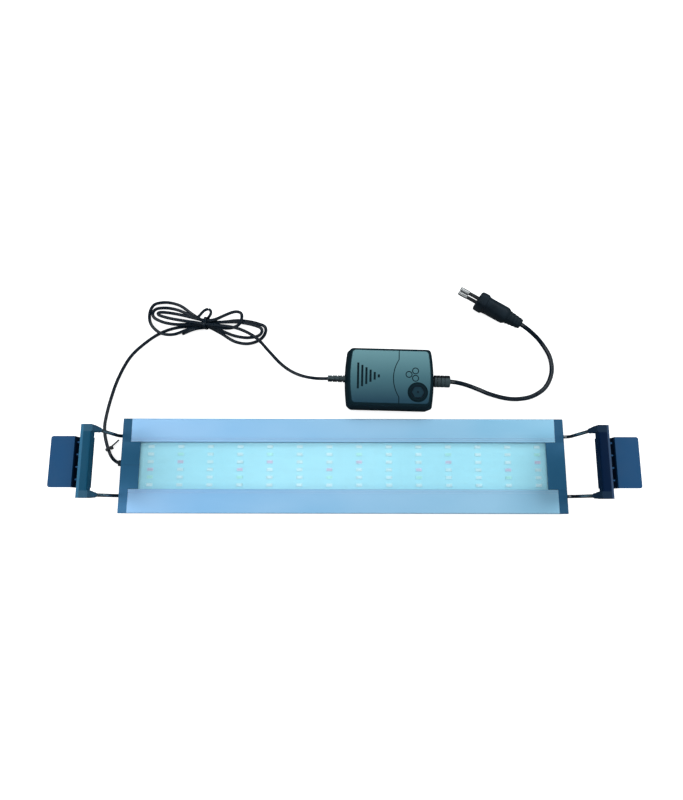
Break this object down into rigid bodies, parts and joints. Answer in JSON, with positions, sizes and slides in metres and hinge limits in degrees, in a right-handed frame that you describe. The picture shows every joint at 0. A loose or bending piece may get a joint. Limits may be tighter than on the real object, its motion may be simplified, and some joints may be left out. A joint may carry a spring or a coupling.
{
  "type": "led aquarium light",
  "caption": "Slim aluminium LED bar light for an aquarium, with two sliding rim brackets, an in-line power supply with a mode button, and a mains plug.",
  "frame": {"origin": "centre of the lamp body's flat back face", "axes": "+Z out of the light side, +X along the lamp towards the right-hand bracket, +Y across the lamp towards the power supply"},
  "size_m": [0.4847, 0.2096, 0.0711],
  "materials": {
    "satin_aluminium": null,
    "cap_plastic": "semi-gloss moulded",
    "bracket_plastic": "semi-gloss moulded",
    "foot_plastic": "satin moulded",
    "stainless": "drawn wire",
    "zinc_screw": "zinc plated",
    "white_board": "white solder mask",
    "green_board": "green solder mask",
    "thermal_silicone": "soft",
    "led_white": "phosphor gel",
    "led_red": "tinted gel",
    "led_green": "tinted gel",
    "black_chip": "moulded",
    "solder": "bright",
    "clear_acrylic": "clear, polished",
    "red_insulation": "wire insulation",
    "black_insulation": "wire insulation",
    "brown_insulation": "wire insulation",
    "cable_pvc": "soft PVC jacket",
    "soft_rubber": "moulded rubber",
    "supply_plastic": "fine moulded texture",
    "button_rubber": "satin rubber",
    "component_tape": "winding tape",
    "capacitor_sleeve": "shrink sleeve",
    "acetal": "acetal",
    "plug_plastic": "soft moulded PVC",
    "nickel": "nickel plated"
  },
  "bodies": {
    "lamp": {"lamp_body": "satin_aluminium", "thermal_pad": "thermal_silicone", "led_board": "white_board", "board_screws": "zinc_screw", "white_leds": "led_white", "red_leds": "led_red", "green_leds": "led_green", "board_resistors": "black_chip", "positive_lead": "red_insulation", "negative_lead": "black_insulation", "solder_joints": "solder", "clear_cover": "clear_acrylic", "left_end_cap": "cap_plastic", "right_end_cap": "cap_plastic", "end_cap_screws": "zinc_screw", "cable_grommet": "soft_rubber", "dc_cable": "cable_pvc", "cable_tie": "acetal", "twist_tie": "cable_pvc", "supply_base": "supply_plastic", "supply_lid": "supply_plastic", "supply_screws": "zinc_screw", "supply_board": "green_board", "transformer": "component_tape", "mains_capacitor": "capacitor_sleeve", "output_capacitor": "capacitor_sleeve", "bridge_rectifier": "black_chip", "switch_board": "green_board", "tact_switch": "black_chip", "dc_strain_relief": "soft_rubber", "ac_strain_relief": "soft_rubber", "dc_inner_wires": "red_insulation", "ac_inner_wires": "brown_insulation", "mains_cable": "cable_pvc", "plug_body": "plug_plastic", "plug_pins": "nickel", "plug_pin_sleeves": "acetal"},
    "left_bracket": {"left_front_rod": "stainless", "left_rear_rod": "stainless", "left_rod_stops": "acetal", "left_crossbar": "bracket_plastic", "left_foot": "foot_plastic", "left_foot_screws": "zinc_screw"},
    "right_bracket": {"right_front_rod": "stainless", "right_rear_rod": "stainless", "right_rod_stops": "acetal", "right_crossbar": "bracket_plastic", "right_foot": "foot_plastic", "right_foot_screws": "zinc_screw"},
    "button": {"mode_button": "button_rubber"}
  },
  "joints": [
    {"name": "left_bracket_slide", "type": "slide", "parent": "lamp", "child": "left_bracket", "axis": [-1, 0, 0], "range_m": [0, 0.08]},
    {"name": "right_bracket_slide", "type": "slide", "parent": "lamp", "child": "right_bracket", "axis": [1, 0, 0], "range_m": [-0.0025, 0.0775]},
    {"name": "mode_button_press", "type": "slide", "parent": "lamp", "child": "button", "axis": [0, 0, -1], "range_m": [0, 0.0008], "stiffness_N_per_m": 1500}
  ]
}
